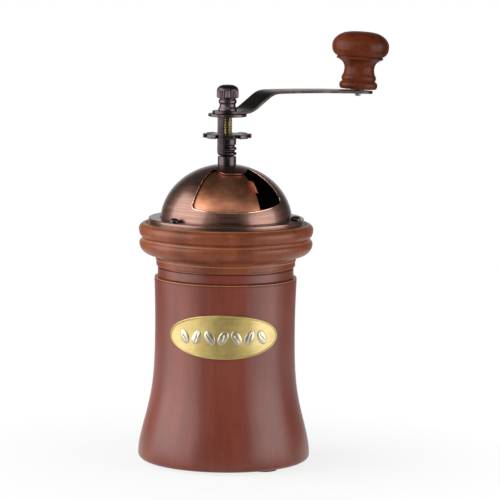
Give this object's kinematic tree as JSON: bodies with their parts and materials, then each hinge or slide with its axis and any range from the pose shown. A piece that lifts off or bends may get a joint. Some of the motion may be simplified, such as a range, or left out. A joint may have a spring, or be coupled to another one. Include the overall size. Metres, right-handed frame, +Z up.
{
  "type": "manual coffee grinder",
  "caption": "Upright hand mill with a turned wooden body and head, a domed hopper cover with a sliding hatch, conical burrs, a notched grind nut and a crank with a turned knob.",
  "frame": {"origin": "on the spindle's axis, at the level that the feet stand on", "axes": "+Z up along the spindle's axis; -Y is the front, with the badge; +X is to the right, seen from the front"},
  "size_m": [0.1227, 0.1015, 0.2101],
  "materials": {
    "dark_wood": "turned beech, stained reddish brown, satin lacquer",
    "head_wood": "turned beech, stained a lighter brown, satin lacquer",
    "knob_wood": "turned beech, stained dark red-brown, gloss lacquer",
    "rubber": "moulded, matt black",
    "antique_copper": "pressed steel sheet with an antique copper plating, clear lacquer",
    "hatch_copper": "pressed steel sheet with a brighter copper plating",
    "gunmetal": "machined or pressed steel with a dark antique plating",
    "badge_brass": "pressed brass, satin",
    "turned_brass": "turned brass",
    "bright_steel": "zinc-plated steel",
    "burr_steel": "hardened tool steel, ground teeth",
    "casting": "as cast, grey",
    "tinplate": "spun tinplate"
  },
  "bodies": {
    "base": {"body_shell": "dark_wood", "foot_1": "rubber", "foot_2": "rubber", "foot_3": "rubber", "badge_plate": "badge_brass"},
    "head": {"neck_ring": "dark_wood", "head_ring": "head_wood", "hopper_funnel": "tinplate", "dome_cover": "antique_copper", "flange_screw_1": "gunmetal", "flange_screw_2": "gunmetal", "flange_screw_3": "gunmetal", "shaft_bushing": "gunmetal", "bushing_nut": "bright_steel", "burr_carrier": "casting", "carrier_screw_1": "bright_steel", "carrier_screw_2": "bright_steel", "carrier_screw_3": "bright_steel", "lower_bush": "turned_brass", "outer_burr": "burr_steel"},
    "adjuster": {"adjusting_nut": "gunmetal", "spring_washer": "bright_steel", "burr_spring": "bright_steel"},
    "spindle": {"shaft": "turned_brass", "inner_burr": "burr_steel", "burr_nut": "bright_steel", "lock_plate": "gunmetal", "crank_arm": "gunmetal", "knob_pin": "bright_steel"},
    "knob": {"knob": "knob_wood", "knob_bush": "turned_brass"},
    "hatch": {"shutter": "hatch_copper"},
    "cap": {"cap_nut": "gunmetal"}
  },
  "joints": [
    {"name": "head_lift", "type": "slide", "parent": "base", "child": "head", "axis": [0, 0, 1], "range_m": [0, 0.06]},
    {"name": "crank_turn", "type": "hinge", "parent": "head", "child": "adjuster", "pos_m": [0, 0, 0.156], "axis": [0, 0, 1], "continuous": true},
    {"name": "grind_adjust", "type": "slide", "parent": "adjuster", "child": "spindle", "axis": [0, 0, 1], "range_m": [-0.0012, 0.0004], "deforming": ["burr_spring"]},
    {"name": "knob_spin", "type": "hinge", "parent": "spindle", "child": "knob", "pos_m": [0.06491, 0.04378, 0.18055], "axis": [0.0463, 0.0312, 0.9984], "continuous": true},
    {"name": "shutter_turn", "type": "hinge", "parent": "head", "child": "hatch", "pos_m": [0, 0, 0.1441], "axis": [0, 0, 1], "range_deg": [-63, 30]},
    {"name": "cap_nut_turn", "type": "hinge", "parent": "spindle", "child": "cap", "pos_m": [0, 0, 0.1792], "axis": [0, 0, 1], "range_deg": [0, 90]}
  ]
}
